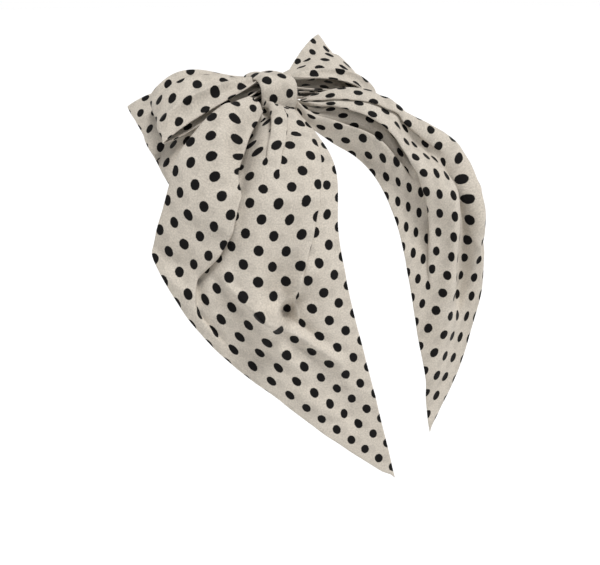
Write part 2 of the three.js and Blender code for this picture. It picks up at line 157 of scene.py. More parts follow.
def new_material(name):
    """An empty node material with its output and one Principled shader."""
    material = bpy.data.materials.new(name)
    material.use_nodes = True
    tree = material.node_tree
    tree.nodes.clear()
    shader = add_node(tree, "ShaderNodeBsdfPrincipled")
    add_node(tree, "ShaderNodeOutputMaterial", {"Surface": shader.outputs[0]})
    return material, tree, shader


def dot_mask(tree, uv, pitch, radius, shift, soft):
    """1 inside round dots on a square lattice turned by 45 degrees, 0 between them."""
    turned = add_node(tree, "ShaderNodeMapping", {
        "Vector": uv, "Location": (shift[0], shift[1], 0),
        "Rotation": (0, 0, math.radians(45)), "Scale": (1 / pitch, 1 / pitch, 0)})
    cell = add_node(tree, "ShaderNodeVectorMath", {0: turned.outputs[0]}, operation="FRACTION")
    middle = add_node(tree, "ShaderNodeVectorMath", {0: cell.outputs[0], 1: (0.5, 0.5, 0)},
                      operation="SUBTRACT")
    away = add_node(tree, "ShaderNodeVectorMath", {0: middle.outputs[0]}, operation="LENGTH")
    mask = add_node(tree, "ShaderNodeMapRange", {
        "Value": away.outputs["Value"], "From Min": (radius + soft) / pitch,
        "From Max": (radius - soft) / pitch, "To Min": 0.0, "To Max": 1.0},
        interpolation_type="SMOOTHSTEP")
    return mask.outputs[0]


def spotted_crepe(name, finish, sizes):
    """Doubled viscose crepe with printed dots: matt, finely pebbled, a faint sheen at grazing angles,
    and a pale ghost of the dots of the layer underneath."""
    material, tree, shader = new_material(name)
    uv = add_node(tree, "ShaderNodeUVMap", uv_map="cloth").outputs[0]
    # the print's edge wanders by a tenth of a millimetre or so where ink follows the threads
    wander = add_node(tree, "ShaderNodeTexNoise", {"Vector": uv, "Scale": 900, "Detail": 2})
    centred = add_node(tree, "ShaderNodeVectorMath",
                       {0: wander.outputs["Color"], 1: (0.5, 0.5, 0.5)}, operation="SUBTRACT")
    small = add_node(tree, "ShaderNodeVectorMath", {0: centred.outputs[0], "Scale": 0.0006},
                     operation="SCALE")
    printed = add_node(tree, "ShaderNodeVectorMath", {0: uv, 1: small.outputs[0]}, operation="ADD")
    pitch = sizes.dot_pitch
    radius = sizes.dot_diameter / 2
    dots = dot_mask(tree, printed.outputs[0], pitch, radius, (0, 0), 0.00025)
    ghost = dot_mask(tree, uv, pitch, radius, (0.37, 0.21), 0.0011)
    # slow changes of tone, as cloth that has been handled
    tone = add_node(tree, "ShaderNodeTexNoise", {"Vector": uv, "Scale": 35, "Detail": 3})
    grain = add_node(tree, "ShaderNodeTexNoise", {"Vector": uv, "Scale": 820, "Detail": 4,
                                                   "Roughness": 0.75})
    # crepe yarns are 0.15 mm apart; they are drawn at 0.7 mm, and the grain at 1.2 mm, so that they show
    yarns = add_node(tree, "ShaderNodeTexVoronoi", {"Vector": uv, "Scale": 1400}, feature="F1")
    cloth = add_node(tree, "ShaderNodeMix", {
        "Factor": tone.outputs["Fac"], 6: finish.cloth_light, 7: finish.cloth_shade}, data_type="RGBA")
    speck = add_node(tree, "ShaderNodeMapRange", {
        "Value": grain.outputs["Fac"], "From Min": 0.35, "From Max": 0.68,
        "To Min": 0.74, "To Max": 1.12})
    speckled = add_node(tree, "ShaderNodeVectorMath", {
        0: cloth.outputs[2], "Scale": speck.outputs[0]}, operation="SCALE")
    faint = add_node(tree, "ShaderNodeMath", {0: ghost, 1: 0.16}, operation="MULTIPLY")
    under = add_node(tree, "ShaderNodeMix", {
        "Factor": faint.outputs[0], 6: speckled.outputs[0], 7: finish.ghost_dot}, data_type="RGBA")
    colour = add_node(tree, "ShaderNodeMix", {
        "Factor": dots, 6: under.outputs[2], 7: finish.dot}, data_type="RGBA")
    pebble = add_node(tree, "ShaderNodeMath", {
        0: grain.outputs["Fac"], 1: yarns.outputs["Distance"]}, operation="ADD")
    bump = add_node(tree, "ShaderNodeBump", {
        "Height": pebble.outputs[0], "Strength": 0.5, "Distance": 0.0003})
    tree.links.new(colour.outputs[2], shader.inputs["Base Color"])
    tree.links.new(bump.outputs[0], shader.inputs["Normal"])
    shader.inputs["Roughness"].default_value = 0.78
    shader.inputs["IOR"].default_value = 1.46
    shader.inputs["Specular IOR Level"].default_value = 0.2
    shader.inputs["Sheen Weight"].default_value = 0.06
    shader.inputs["Sheen Roughness"].default_value = 0.4
    return material


def thread_material(name, finish):
    """Spun polyester sewing thread: soft, slightly glossy fibres twisted together, with painted shade in
    the grooves between the fibres.
    """
    material, tree, shader = new_material(name)
    uv = add_node(tree, "ShaderNodeUVMap", uv_map="cloth").outputs[0]
    twist = add_node(tree, "ShaderNodeTexWave", {"Vector": uv, "Scale": 260, "Distortion": 1.0},
                     wave_type="BANDS", bands_direction="DIAGONAL")
    # painted shade: the darker thread colour lies in the twist's grooves, between the fibres, where the
    # bump is lowest
    colour = add_node(tree, "ShaderNodeMix", {
        "Factor": twist.outputs["Fac"], 6: finish.thread_shade, 7: finish.thread}, data_type="RGBA")
    bump = add_node(tree, "ShaderNodeBump", {
        "Height": twist.outputs["Fac"], "Strength": 0.5, "Distance": 0.0002})
    tree.links.new(colour.outputs[2], shader.inputs["Base Color"])
    tree.links.new(bump.outputs[0], shader.inputs["Normal"])
    shader.inputs["Roughness"].default_value = 0.55
    shader.inputs["Sheen Weight"].default_value = 0.3
    return material


def plated_steel(name, colour, roughness, stretch):
    """Nickel-plated strip steel, rolled and tumbled: a soft mirror with fine lines along the strip
    and faint cloudy wear."""
    material, tree, shader = new_material(name)
    place = add_node(tree, "ShaderNodeTexCoord").outputs["Object"]
    along = add_node(tree, "ShaderNodeMapping", {"Vector": place, "Scale": stretch})
    lines = add_node(tree, "ShaderNodeTexNoise", {"Vector": along.outputs[0], "Scale": 1.0,
                                                   "Detail": 4, "Roughness": 0.6})
    clouds = add_node(tree, "ShaderNodeTexNoise", {"Vector": place, "Scale": 160, "Detail": 3})
    worn = add_node(tree, "ShaderNodeMapRange", {
        "Value": clouds.outputs["Fac"], "From Min": 0.3, "From Max": 0.7,
        "To Min": roughness - 0.07, "To Max": roughness + 0.1})
    shade = add_node(tree, "ShaderNodeMapRange", {
        "Value": lines.outputs["Fac"], "From Min": 0.3, "From Max": 0.7, "To Min": 0.9, "To Max": 1.03})
    tinted = add_node(tree, "ShaderNodeVectorMath", {0: colour[:3], "Scale": shade.outputs[0]},
                      operation="SCALE")
    bump = add_node(tree, "ShaderNodeBump", {
        "Height": lines.outputs["Fac"], "Strength": 0.15, "Distance": 0.00005})
    tree.links.new(tinted.outputs[0], shader.inputs["Base Color"])
    tree.links.new(worn.outputs[0], shader.inputs["Roughness"])
    tree.links.new(bump.outputs[0], shader.inputs["Normal"])
    shader.inputs["Metallic"].default_value = 1.0
    return material


def stage_material(name, hex_colour):
    """Plain matt studio card."""
    material, tree, shader = new_material(name)
    place = add_node(tree, "ShaderNodeTexCoord").outputs["Object"]
    mottle = add_node(tree, "ShaderNodeTexNoise", {"Vector": place, "Scale": 3, "Detail": 2})
    bump = add_node(tree, "ShaderNodeBump", {"Height": mottle.outputs["Fac"], "Strength": 0.02})
    tree.links.new(bump.outputs[0], shader.inputs["Normal"])
    shader.inputs["Base Color"].default_value = linear(hex_colour)
    shader.inputs["Roughness"].default_value = 0.9
    return material


# ---------------------------------------------------------------- curve and surface helpers

def catmull(points, t):
    """Points on a centripetal Catmull-Rom spline. points is (k, n, 3), one spline for each t."""
    last = len(points) - 1
    padded = np.concatenate([2 * points[:1] - points[1:2], points, 2 * points[-1:] - points[-2:-1]])
    start = np.clip(np.floor(t * last).astype(int), 0, last - 1)
    each = np.arange(len(t))
    w = (t * last - start)[:, None]
    p0, p1, p2, p3 = (padded[start + i, each] for i in range(4))
    gaps = [np.maximum(np.linalg.norm(b - a, axis=1), 1e-9)[:, None] ** 0.5
            for a, b in ((p0, p1), (p1, p2), (p2, p3))]
    g0, g1, g2 = gaps
    a = ((p1 - p0) / g0 - (p2 - p0) / (g0 + g1) + (p2 - p1) / g1) * g1
    b = ((p2 - p1) / g1 - (p3 - p1) / (g1 + g2) + (p3 - p2) / g2) * g1
    return p1 + a * w + (3 * (p2 - p1) - 2 * a - b) * w ** 2 + (2 * (p1 - p2) + a + b) * w ** 3


def along_line(points, distances):
    """Points at given distances along a spline, going on straight past its end."""
    steps = 600
    knots = np.repeat(np.asarray(points, float)[:, None, :], steps, axis=1)
    fine = catmull(knots, np.linspace(0, 1, steps))
    onward = fine[-1] + (fine[-1] - fine[-2]) * 100
    fine = np.vstack([fine, onward])
    run = np.concatenate([[0], np.cumsum(np.linalg.norm(np.diff(fine, axis=0), axis=1))])
    return np.stack([np.interp(distances, run, fine[:, k]) for k in range(3)], axis=1)


def hanging(lines, distance, across):
    """The hanging surface through the hang lines, for arrays of distance and place across."""
    rows = np.stack([along_line(line, distance) for line in lines])
    rows[:, :, 2] += BUNDLE_HEIGHT
    return catmull(rows, across)


def directions(surface):
    """Unit vectors along, across and outward on a (rows, columns, 3) surface."""
    along = np.gradient(surface, axis=0)
    across = np.gradient(surface, axis=1)
    along /= np.linalg.norm(along, axis=2)[:, :, None] + 1e-12
    outward = np.cross(along, across)
    outward /= np.linalg.norm(outward, axis=2)[:, :, None] + 1e-12
    across = np.cross(outward, along)
    return along, across, outward


def ease(value):
    """A smooth step from 0 to 1."""
    held = np.clip(value, 0, 1)
    return held * held * (3 - 2 * held)


def fold_at(stations, distance):
    """Place, cloth taken up and rise of a fold at each distance, fading out past its two ends."""
    table = np.array(stations, float)
    reach = table[:, 0]
    place, taken, rise = (np.interp(distance, reach, table[:, k]) for k in (1, 2, 3))
    fade = ease((distance - reach[0] + 14) / 14) * ease((reach[-1] + 26 - distance) / 26)
    return place, taken * fade, rise * fade


def lay_folds(folds, lines, distance, across, width, long_edge, shortening):
    """Where each point of the flat strip lies across the hanging surface once its folds have taken up
    their cloth, and how far it rises. The cloth between the folds keeps its flat width."""
    stations = np.linspace(0, long_edge, 90)
    places = np.linspace(0, 1, 41)
    grid_d, grid_v = np.meshgrid(stations, places, indexing="ij")
    limit = np.clip((long_edge - stations) / shortening, 0.02, 1)
    rows = hanging(lines, grid_d.ravel(), (grid_v * limit[:, None]).ravel()).reshape(90, 41, 3)
    steps = np.linalg.norm(np.diff(rows, axis=1), axis=2)
    run = np.concatenate([np.zeros((90, 1)), np.cumsum(steps, axis=1)], axis=1)
    spans = run[:, -1]
    even = np.linspace(0, 1, 101)
    inverse = np.stack([np.interp(even * spans[i], run[i], places * limit[i]) for i in range(90)])
    flat = width * np.clip((long_edge - distance) / shortening, 0.02, 1)
    span = np.interp(distance, stations, spans)
    spot = across * width
    knives = sorted((item for item in folds if item[0] == "knife"), key=lambda item: item[2][1][1])
    taken_before = np.zeros_like(distance)
    taken_all = sum(fold_at(item[2], distance)[1] for item in knives)
    open_ratio = span / np.maximum(flat - taken_all, 8)
    used = np.zeros_like(distance)
    lift = np.zeros_like(distance)
    for _, side, stops in knives:
        place, taken, rise = fold_at(stops, distance)
        centre = place * span / open_ratio + taken_before + taken / 2
        half = 0.33 * taken + 1.2
        q = (spot - centre) / half
        used = used + taken * ease((q + 1) / 2)
        reach = np.maximum(np.abs(spot - centre) - half, 0) / (0.5 * taken + 7)
        lift = lift - side * 0.5 * rise * np.tanh(1.6 * q) * np.exp(-reach ** 2)
        taken_before = taken_before + taken
    laid = np.clip((spot - used) * open_ratio / np.maximum(span, 1e-6), -0.02, 1.02)
    for kind, side, stops in folds:
        if kind == "ridge":
            place, half, rise = fold_at(stops, distance)
            half = np.maximum(half, 4)
            q = (laid - place) * span / half
            lift = lift + side * rise * np.exp(-q * q)
    row = np.clip(distance / long_edge * 89, 0, 88.999)
    column = np.clip(laid, 0, 1) * 99.999
    r0, c0 = row.astype(int), column.astype(int)
    fr, fc = row - r0, column - c0
    v = ((inverse[r0, c0] * (1 - fc) + inverse[r0, c0 + 1] * fc) * (1 - fr)
         + (inverse[r0 + 1, c0] * (1 - fc) + inverse[r0 + 1, c0 + 1] * fc) * fr)
    return v, lift


def fold_shift(folds, distance, across, width):
    """How far each place of a loop moves outward and across for the folds in the list."""
    rise = np.zeros_like(distance)
    tuck = np.zeros_like(distance)
    for kind, side, stations in folds:
        table = np.array(stations, float)
        reach = table[:, 0]
        centre, half, height, pull = (np.interp(distance, reach, table[:, k]) for k in (1, 2, 3, 4))
        ends = ease((distance - reach[0] + 14) / 14) * ease((reach[-1] + 20 - distance) / 20)
        q = (across - centre) * width / half
        bell = np.exp(-q * q)
        if kind == "ridge":
            rise += side * height * bell * ends
        else:
            rise -= side * height * 1.7 * q * bell * ends
        tuck -= pull * 1.3 * q * bell * ends
    return rise, tuck


def crumple(distance, across, size, seed):
    """Small uneven waves that change slowly over the cloth, between about -1 and 1."""
    total = np.zeros_like(distance)
    maker = np.random.default_rng(seed)
    for k in range(7):
        angle = maker.uniform(0, math.pi)
        length = size * maker.uniform(0.7, 1.9)
        phase = maker.uniform(0, 2 * math.pi)
        bend = maker.uniform(0.3, 0.9) * np.sin(
            distance / (size * 1.7) + across / (size * 2.3) + phase * 2)
        total += np.sin(2 * math.pi * (distance * math.cos(angle) + across * math.sin(angle)) / length
                        + phase + bend)
    return total / 7


def creases(distance, across, size, seed):
    """Thin crooked creases, from 0 to 1, where handled cloth has been pressed and let go."""
    line = np.exp(-(crumple(distance, across, size, seed) / 0.055) ** 2)
    return line * np.clip(2.4 * crumple(distance, across, size * 1.6, seed + 40) + 0.2, 0, 1)


# ---------------------------------------------------------------- cloth pieces

def cloth_grid(name, rows, columns):
    """A flat grid piece; returns it with each vertex's place along and across, as (rows, columns)."""
    bpy.ops.object.select_all(action="DESELECT")
    bpy.ops.mesh.primitive_grid_add(x_subdivisions=columns, y_subdivisions=rows, size=1)
    piece = bpy.context.object
    piece.name = name
    piece.data.name = name
    flat = np.empty(len(piece.data.vertices) * 3)
    piece.data.vertices.foreach_get("co", flat)
    flat = flat.reshape(rows + 1, columns + 1, 3)
    return piece, flat[:, :, 1] + 0.5, flat[:, :, 0] + 0.5


def place_vertices(piece, points):
    """Moves a piece's vertices to points given in millimetres."""
    piece.data.vertices.foreach_set("co", (np.asarray(points) * MM).ravel())
    piece.data.update()


def paint_uv(piece, flat_x, flat_y):
    """A UV map of the flat cut cloth, in metres, so that the print keeps its true size."""
    while piece.data.uv_layers:
        piece.data.uv_layers.remove(piece.data.uv_layers[0])
    layer = piece.data.uv_layers.new(name="cloth")
    corner = np.empty(len(piece.data.loops), dtype=int)
    piece.data.loops.foreach_get("vertex_index", corner)
    uv = np.stack([flat_x.ravel()[corner], flat_y.ravel()[corner]], axis=1) * MM
    layer.data.foreach_set("uv", uv.ravel())


def settle(piece, flat_x, flat_y, hold, frames, gravity):
    """Lets the cloth find its own wrinkles: a short simulation whose rest shape is the flat cut cloth,
    held by its gathered ends and firmly drawn to the shape that it starts from."""
    shape = np.empty(len(piece.data.vertices) * 3)
    piece.data.vertices.foreach_get("co", shape)
    piece.shape_key_add(name="hung")
    flat = piece.shape_key_add(name="cut flat")
    flat_points = np.stack([flat_x.ravel(), flat_y.ravel(), np.zeros(flat_x.size)], axis=1) * MM
    flat.data.foreach_set("co", flat_points.ravel())
    group = piece.vertex_groups.new(name="held")
    for level in np.unique(np.round(hold.ravel(), 2)):
        members = np.nonzero(np.round(hold.ravel(), 2) == level)[0].tolist()
        group.add(members, float(level), "REPLACE")
    cloth = piece.modifiers.new("Cloth", "CLOTH")
    use = cloth.settings
    use.quality = 6
    use.mass = 0.15
    use.tension_stiffness = 25
    use.compression_stiffness = 18
    use.shear_stiffness = 12
    use.bending_stiffness = 0.6
    use.tension_damping = 20
    use.compression_damping = 20
    use.shear_damping = 15
    use.bending_damping = 1.0
    use.air_damping = 4
    use.vertex_group_mass = "held"
    use.pin_stiffness = 1.0
    use.rest_shape_key = flat
    use.effector_weights.gravity = gravity
    crash = cloth.collision_settings
    crash.use_collision = False
    crash.use_self_collision = False
    cloth.point_cache.frame_start = 1
    cloth.point_cache.frame_end = frames + 1
    scene = bpy.context.scene
    for frame_number in range(1, frames + 1):
        scene.frame_set(frame_number)
    view = piece.evaluated_get(bpy.context.evaluated_depsgraph_get())
    settled = np.empty(len(piece.data.vertices) * 3)
    view.data.vertices.foreach_get("co", settled)
    piece.modifiers.remove(cloth)
    piece.shape_key_clear()
    piece.vertex_groups.remove(group)
    scene.frame_set(1)
    if not np.isfinite(settled).all():
        raise RuntimeError(f"{piece.name}: the cloth did not settle")
    piece.data.vertices.foreach_set("co", settled)
    piece.data.update()


def finish_cloth(piece, thickness):
    """Gives the settled sheet its doubled thickness and rounds its turned edges."""
    bpy.ops.object.select_all(action="DESELECT")
    piece.select_set(True)
    bpy.context.view_layer.objects.active = piece
    wall = piece.modifiers.new("Doubled", "SOLIDIFY")
    wall.thickness = thickness
    wall.offset = 0
    wall.use_even_offset = False
    bpy.ops.object.modifier_apply(modifier="Doubled")
    soft = piece.modifiers.new("Rounded", "SUBSURF")
    soft.levels = 1
    soft.render_levels = 1
    soft.uv_smooth = "PRESERVE_BOUNDARIES"
    bpy.ops.object.modifier_apply(modifier="Rounded")
    piece.data.shade_smooth()


def dress(piece, material, body, slot, *nodes):
    """Gives a piece its material and its body, and hides the CAD nodes that it stands for."""
    piece.data.materials.clear()
    piece.data.materials.append(material)
    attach(piece, body)
    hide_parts(*nodes)


def material_once(name, maker, *values):
    """A material by name, made the first time that it is asked for."""
    return bpy.data.materials.get(name) or maker(name, *values)


# ---------------------------------------------------------------- settings

def mm_size(name, text, value, low, high):
    return bpy.props.FloatProperty(name=name, description=text, default=value * MM, min=low * MM,
                                   max=high * MM, subtype="DISTANCE", unit="LENGTH")


def tint(name, text, hex_colour):
    return bpy.props.FloatVectorProperty(name=name, description=text, default=linear(hex_colour), size=4,
                                         min=0, max=1, subtype="COLOR")


class BowSizes(bpy.types.PropertyGroup):
    """Sizes of the cloth and its print."""
    cloth_thickness: mm_size("Cloth", "Thickness of the doubled crepe", 1.1, 0.4, 3)
    band_thickness: mm_size("Band", "Thickness of the knot band", 1.4, 0.4, 3)
    strip_width: mm_size("Tail width", "Width of a tail strip when flat", 165, 80, 260)
    left_edge: mm_size("Left tail", "Long edge of the left tail", 324, 100, 500)
    right_edge: mm_size("Right tail", "Long edge of the right tail", 310, 100, 500)
    cut_angle: bpy.props.FloatProperty(name="Cut", description="Slant of the tail ends",
                                       default=math.radians(43), min=0, max=math.radians(60),
                                       subtype="ANGLE", unit="ROTATION")
    front_width: mm_size("Front loops", "Width of the front loop strip when flat", 58, 30, 120)
    rear_width: mm_size("Rear loops", "Width of the rear loop strip when flat", 94, 40, 160)
    dot_diameter: mm_size("Dot", "Diameter of a printed dot", 7, 2, 15)
    dot_pitch: mm_size("Dot spacing", "Side of the square lattice of dots", 14.3, 5, 40)


class BowFinish(bpy.types.PropertyGroup):
    """Colours of the cloth, thread and metal."""
    cloth_light: tint("Cloth", "Undyed crepe where it is cleanest", "D2CABE")
    cloth_shade: tint("Cloth shade", "Slightly warmer tone in the cloth", "C2B9AC")
    ghost_dot: tint("Ghost dot", "Dots of the under layer seen through the cloth", "7E7870")
    dot: tint("Dot", "Printed dots", "070505")
    thread: tint("Thread", "Gathering thread", "DAD6CE")
    # painted shade for the grooves between the thread's fibres
    thread_shade: tint("Thread shade", "Between the fibres of the thread", "A9A49B")
    plate: tint("Plate", "Nickel-plated strip steel", "C3C4C6")
    spring: tint("Spring", "Spring steel strip", "A2A3A6")


class BowStage(bpy.types.PropertyGroup):
    """The studio round the bow."""
    floor_drop: mm_size("Floor", "How far the floor is below the tails", 900, 1, 2000)
    lens: bpy.props.FloatProperty(name="Lens", description="Focal length on a 36 mm wide sensor",
                                  default=38.94, min=10, max=200, subtype="DISTANCE_CAMERA")
    key_power: bpy.props.FloatProperty(name="Key light", description="Strength of the main soft light",
                                       default=2.85, min=0)
    room_light: bpy.props.FloatProperty(name="Room light",
                                        description="Strength of the light from the ceiling",
                                        default=0.2, min=0)


# ---------------------------------------------------------------- operators

def crepe():
    scene = bpy.context.scene
    return material_once("viscose_crepe_printed", spotted_crepe, scene.bow_finish, scene.bow_sizes)


def make_tail(name, lines, long_edge, folds, seed):
    """One tail: a strip cut on a slant, pleated into the knot, hung and settled."""
    sizes = bpy.context.scene.bow_sizes
    width = sizes.strip_width / MM
    rows, columns = (108, 72)
    piece, along, across = cloth_grid(name, rows, columns)
    long_mm = long_edge / MM
    shortening = width * math.tan(sizes.cut_angle)
    distance = along * (long_mm - shortening * across)
    laid, lift = lay_folds(folds, lines, distance, across, width, long_mm, shortening)
    shape = hanging(lines, distance.ravel(), laid.ravel()).reshape(rows + 1, columns + 1, 3)
    # outward directions come from the smooth surface, so that a folded row doesn't turn them over
    smooth = hanging(lines, distance.ravel(), across.ravel()).reshape(rows + 1, columns + 1, 3)
    away = directions(smooth)[2]
    away *= np.sign(np.einsum("ijk,ijk->", away, smooth - np.array([0, 0, -120.0])))
    step = np.clip(laid, 0, 1) * columns
    left = np.minimum(step.astype(int), columns - 1)
    part = (step - left)[:, :, None]
    row = np.arange(rows + 1)[:, None]
    outward = away[row, left] * (1 - part) + away[row, left + 1] * part
    # tight gathers by the knot, dying away over a few centimetres
    tight = np.exp(-np.maximum(distance - 16, 0) / 16) * 2.4
    lift += tight * np.cos(2 * math.pi * (7 * across + 0.35 * np.sin(across * 9 + seed)))
    lift += 0.8 * crumple(distance, across * width, 34, seed) * np.clip((distance - 30) / 60, 0, 1)
    lift += 0.5 * crumple(distance, across * width, 15, seed + 1) * np.clip((distance - 20) / 60, 0, 1)
    lift += 1.3 * creases(distance, across * width, 70, seed + 2) * np.clip((distance - 40) / 60, 0, 1)
    shape = shape + outward * lift[:, :, None]
    place_vertices(piece, shape)
    flat_x = across * width
    paint_uv(piece, flat_x, distance)
    near = np.clip((distance - 14) / 26, 0, 1)
    hold = np.clip(1 - near, TAIL_HOLD, 1)
    settle(piece, flat_x, distance, hold, TAIL_FRAMES, 0.15)
    finish_cloth(piece, sizes.cloth_thickness)
    return piece


class BOW_OT_tails(bpy.types.Operator):
    """Cuts, hangs and folds the two long slanted tails"""
    bl_idname = "bow.tails"
    bl_label = "Tails"

    def execute(self, context):
        sizes = context.scene.bow_sizes
        for name, lines, edge, folds, seed in (
                ("left_tail_cloth", LEFT_HANG, sizes.left_edge, LEFT_FOLDS, 3),
                ("right_tail_cloth", RIGHT_HANG, sizes.right_edge, RIGHT_FOLDS, 8)):
            piece = make_tail(name, lines, edge, folds, seed)
            dress(piece, crepe(), "bow", "crepe", name.replace("_cloth", ""))
        return {"FINISHED"}


# Near and far corner of each end fold. Arch and climb each give the near edge, then the far edge:
# how far the middle rises, and how late the edge leaves the height of the knot. Droop is how much
# of the opening the top layer's near edge hangs down over.
FRONT = {
    "left": {"near": (-96, -12, -2), "far": (-85, 34, 20),
             "arch": (2, 10), "climb": (1.3, 2), "droop": 0.95},
    "right": {"near": (84, -26, 4), "far": (72, 16, 38),
              "arch": (6, 8), "climb": (1.8, 2), "droop": 0.6},
}
REAR = {
    "left": {"near": (-95, -16, -32), "far": (-93, 62, 12),
             "arch": (5, 11), "climb": (1.6, 2), "droop": 0.7},
    "right": {"near": (98, -8, -10), "far": (74, 54, 58),
              "arch": (-2, 4), "climb": (1.8, 1.0), "droop": 0.0},
}
KNOT_SHIFT = -4.0
LOOP_SHIFT = 1.2
HALF_BAND = 14.0
LOOP_GATHER = 18.0
LAYER_RISE = 2.6
WAIST = 0.45
FRONT_HEIGHT, FRONT_OPENING, FRONT_SHARE, FRONT_PUFF = 27.1, 22, 0.3, 4.5
REAR_HEIGHT, REAR_OPENING, REAR_SHARE, REAR_PUFF = 20.5, 10, 0.5, 0
# how many frames the cloth settles for, and how firmly it is held to its drawn shape
TAIL_FRAMES, TAIL_HOLD = 10, 0.6
LOOP_FRAMES, LOOP_HOLD = 14, 0.75
# the knot band and the thread under it, in millimetres
BAND_WIDTH, BAND_DEPTH, BAND_BASE, BAND_TOP, BAND_MIDDLE = 31, 34, 9.8, 35.8, 22.6
THREAD_DEPTH, THREAD_BASE, THREAD_TOP, THREAD_THICK = 28.6, 12.6, 32.0, 0.9


def cut_width(width, run):
    """Width of a loop strip's cut: full at the end folds, with an assumed waist under the knot."""
    return width * (WAIST + (1 - WAIST) * np.sin(math.pi * run) ** 0.75)


def pleat_wave(distance, across):
    """Small gathers that run out of the knot and die away along the cloth."""
    wide, narrow = np.cos(6 * math.pi * across), np.sin(14 * math.pi * across)
    return np.exp(-distance / 22) * (wide + 0.25 * narrow)


def loop_points(height, opening, share, puff, loop, side, run, across):
    """Middle of one loop's cloth: run goes from 0 under the knot, round the end fold, to 1 on top."""
    near, far = (np.array(loop[key], float) for key in ("near", "far"))
    swell = np.sin(math.pi * run)
    spread = swell ** 0.75
    knot = np.array([KNOT_SHIFT + side * HALF_BAND, LOOP_SHIFT, height])
    fold = (near + far) / 2
    to_far = ease(across * 1.3)
    arch = loop["arch"][0] + (loop["arch"][1] - loop["arch"][0]) * to_far
    climb = swell ** (loop["climb"][0] + (loop["climb"][1] - loop["climb"][0]) * to_far)
    centre = knot + (fold - knot) * swell[:, :, None]
    centre[:, :, 2] += arch * np.sin(math.pi * swell ** 1.3)
    span = far - near
    width = np.stack([span[0] * spread, LOOP_GATHER + (span[1] - LOOP_GATHER) * spread,
                      span[2] * climb], axis=2)
    outward = (fold - knot) / np.linalg.norm(fold - knot)
    up = np.cross(np.broadcast_to(outward, width.shape), width)
    up *= side / np.linalg.norm(up, axis=2)[:, :, None]
    # the top layer's near edge hangs down over the opening
    top_share = (1 - share) * (1 - loop["droop"] * (1 - to_far))
    part = np.where(run < 0.5, share, top_share)
    apart = (opening * spread * part + LAYER_RISE / 2) * -np.cos(math.pi * run)
    reach = swell * np.linalg.norm(fold - knot)
    wave = pleat_wave(reach, across)
    centre[:, :, 2] += np.where(run > 0.5, puff * np.exp(-reach / 16), 0)
    return centre + width * (across - 0.5)[:, :, None] + up * (wave + apart)[:, :, None]


def loop_strip(height, opening, share, puff, loops, along, across):
    """The closed strip: lower right, upper right, upper left, lower left, ends met under the knot."""
    flat = 0.04
    seam = np.minimum(along, 1 - along)
    side = np.where(along < 0.5, 1.0, -1.0)
    run = np.clip((seam - flat) / (0.5 - 2 * flat), 0, 1)
    shape = np.empty(along.shape + (3,))
    for name, sign in (("right", 1.0), ("left", -1.0)):
        points = loop_points(height, opening, share, puff, loops[name], sign, run, across)
        shape = np.where((side == sign)[:, :, None], points, shape)
    low = seam < flat
    top = seam > 0.5 - flat
    reach = np.where(low, side * (0.4 + (HALF_BAND - 0.4) * seam / flat),
                     HALF_BAND * (0.5 - along) / flat)
    layer = np.where(low, -1.0, 1.0)
    # the thread pulls the top layer down in the middle and it swells up on either side
    swelling = np.where(low, 0, puff * (reach / HALF_BAND) ** 2)
    crossing = np.stack([KNOT_SHIFT + reach, LOOP_SHIFT + LOOP_GATHER * (across - 0.5),
                         height + layer * LAYER_RISE / 2 + swelling + pleat_wave(0, across)], axis=2)
    return np.where((low | top)[:, :, None], crossing, shape), run, side, low | top


def make_loops(name, loops, height, opening, share, puff, width, folds, seed):
    """A pair of loops from one closed strip, gathered in the middle, puffed and settled."""
    sizes = bpy.context.scene.bow_sizes
    rows, columns = (180, 32)
    piece, along, across = cloth_grid(name, rows, columns)
    shape, run, side, crossing = loop_strip(height, opening, share, puff, loops, along, across)
    step = np.linalg.norm(np.diff(shape[:, columns // 2], axis=0), axis=1)
    run_length = np.concatenate([[0], np.cumsum(step)])
    distance = np.broadcast_to(run_length[:, None], along.shape)
    _, sideways, outward = directions(shape)
    for sign, fold_list in folds.items():
        local = np.where(side == sign, run, -1.0) * 100
        rise, tuck = fold_shift(fold_list, local, across, width)
        live = (local >= 0) & ~crossing
        shape = shape + outward * (rise * live)[:, :, None] + sideways * (tuck * live)[:, :, None]
    away = np.where(crossing, 0, np.sin(math.pi * run))
    uneven = 0.8 * crumple(distance, across * width, 26, seed)
    uneven += 1.0 * creases(distance, across * width, 60, seed + 2)
    shape = shape + outward * (away * uneven)[:, :, None]
    place_vertices(piece, shape)
    cut = cut_width(width, np.where(crossing, 0, run))
    flat_x = (across - 0.5) * cut
    paint_uv(piece, flat_x, distance)
    hold = np.where(crossing, 1.0, np.clip(1 - away * 5, LOOP_HOLD, 1))
    settle(piece, flat_x, distance, hold, LOOP_FRAMES, 0.0)
    finish_cloth(piece, sizes.cloth_thickness)
    middle = cut[:, 0]
    area = float(np.sum((middle[1:] + middle[:-1]) / 2 * np.diff(run_length)))
    return piece, run_length[-1] * MM, area * MM * MM


